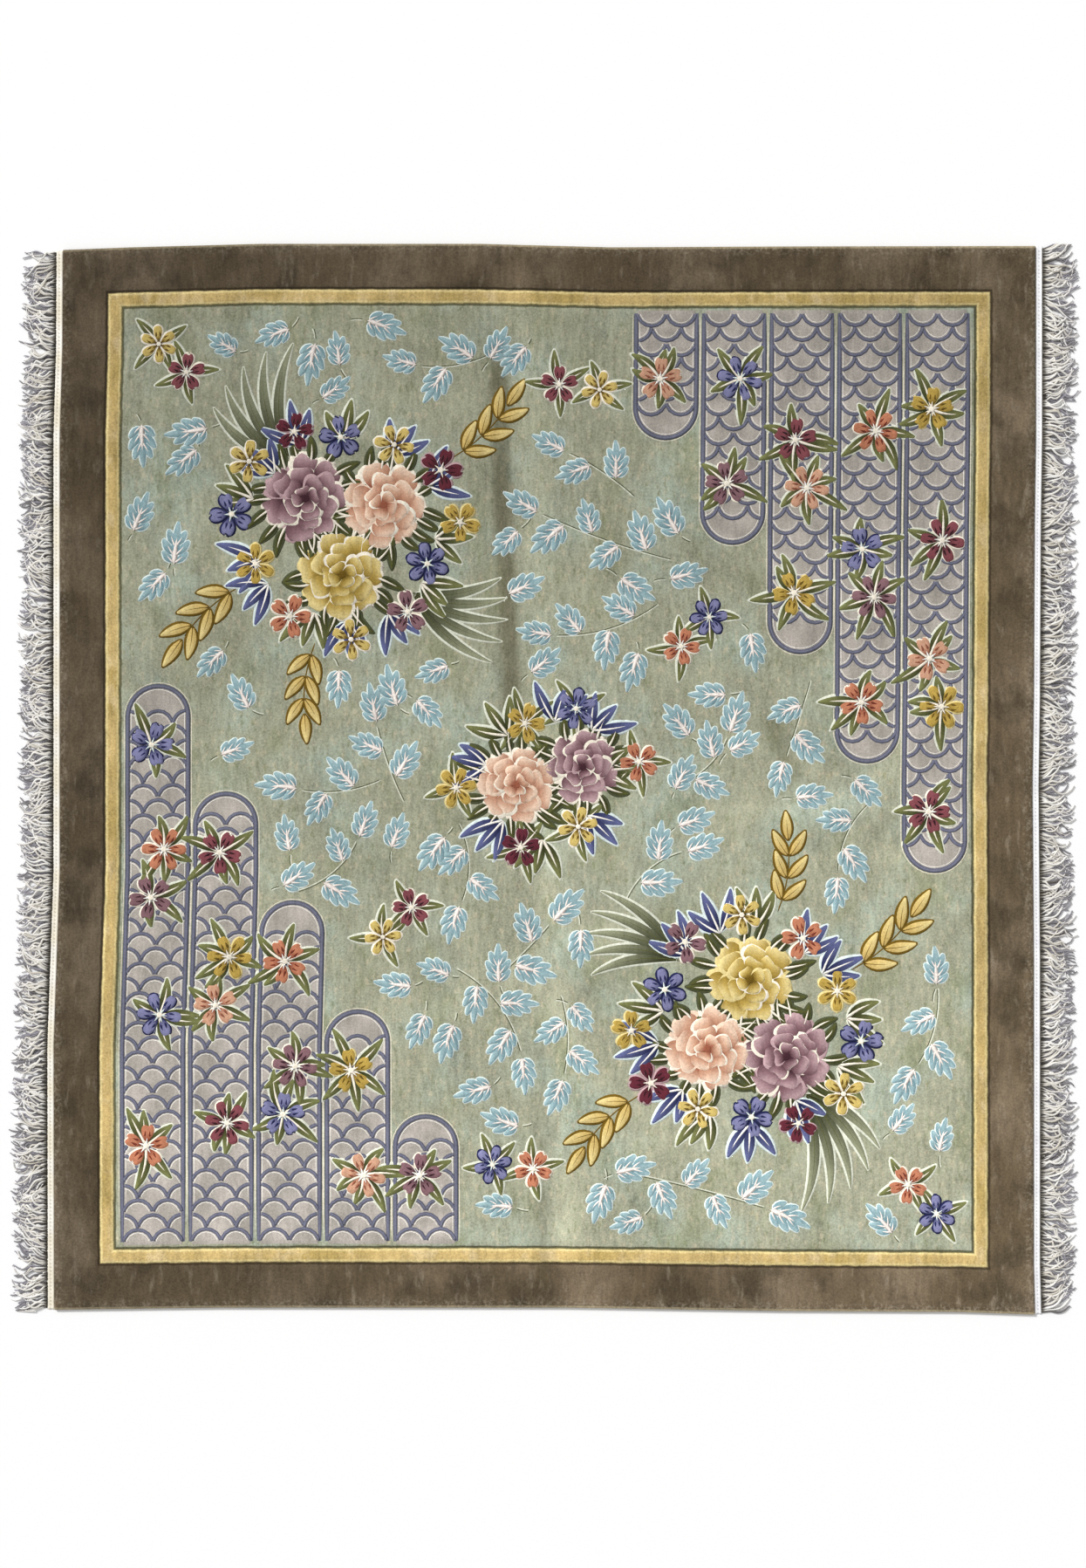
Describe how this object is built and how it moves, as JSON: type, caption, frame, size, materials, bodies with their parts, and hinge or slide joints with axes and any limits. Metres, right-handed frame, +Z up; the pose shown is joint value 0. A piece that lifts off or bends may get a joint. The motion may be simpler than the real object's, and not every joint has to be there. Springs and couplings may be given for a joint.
{
  "type": "art deco rug",
  "caption": "Flat hand-knotted pile rug with a brown border, gold guard stripe, carved floral field, woven end bands and yarn fringe on two ends; lies on the floor.",
  "frame": {"origin": "on the floor under the middle of the whole rug, fringe included", "axes": "+X from the left fringe to the right fringe, +Y towards the top edge of the design, +Z up from the floor through the pile"},
  "size_m": [2.4528, 2.456, 0.0153],
  "materials": {
    "pile": "short cut pile with a soft sheen",
    "fringe_yarn": "matte undyed yarn"
  },
  "bodies": {
    "root": {"rug_pile": "pile", "fringe_left": "fringe_yarn", "fringe_right": "fringe_yarn"}
  },
  "joints": []
}
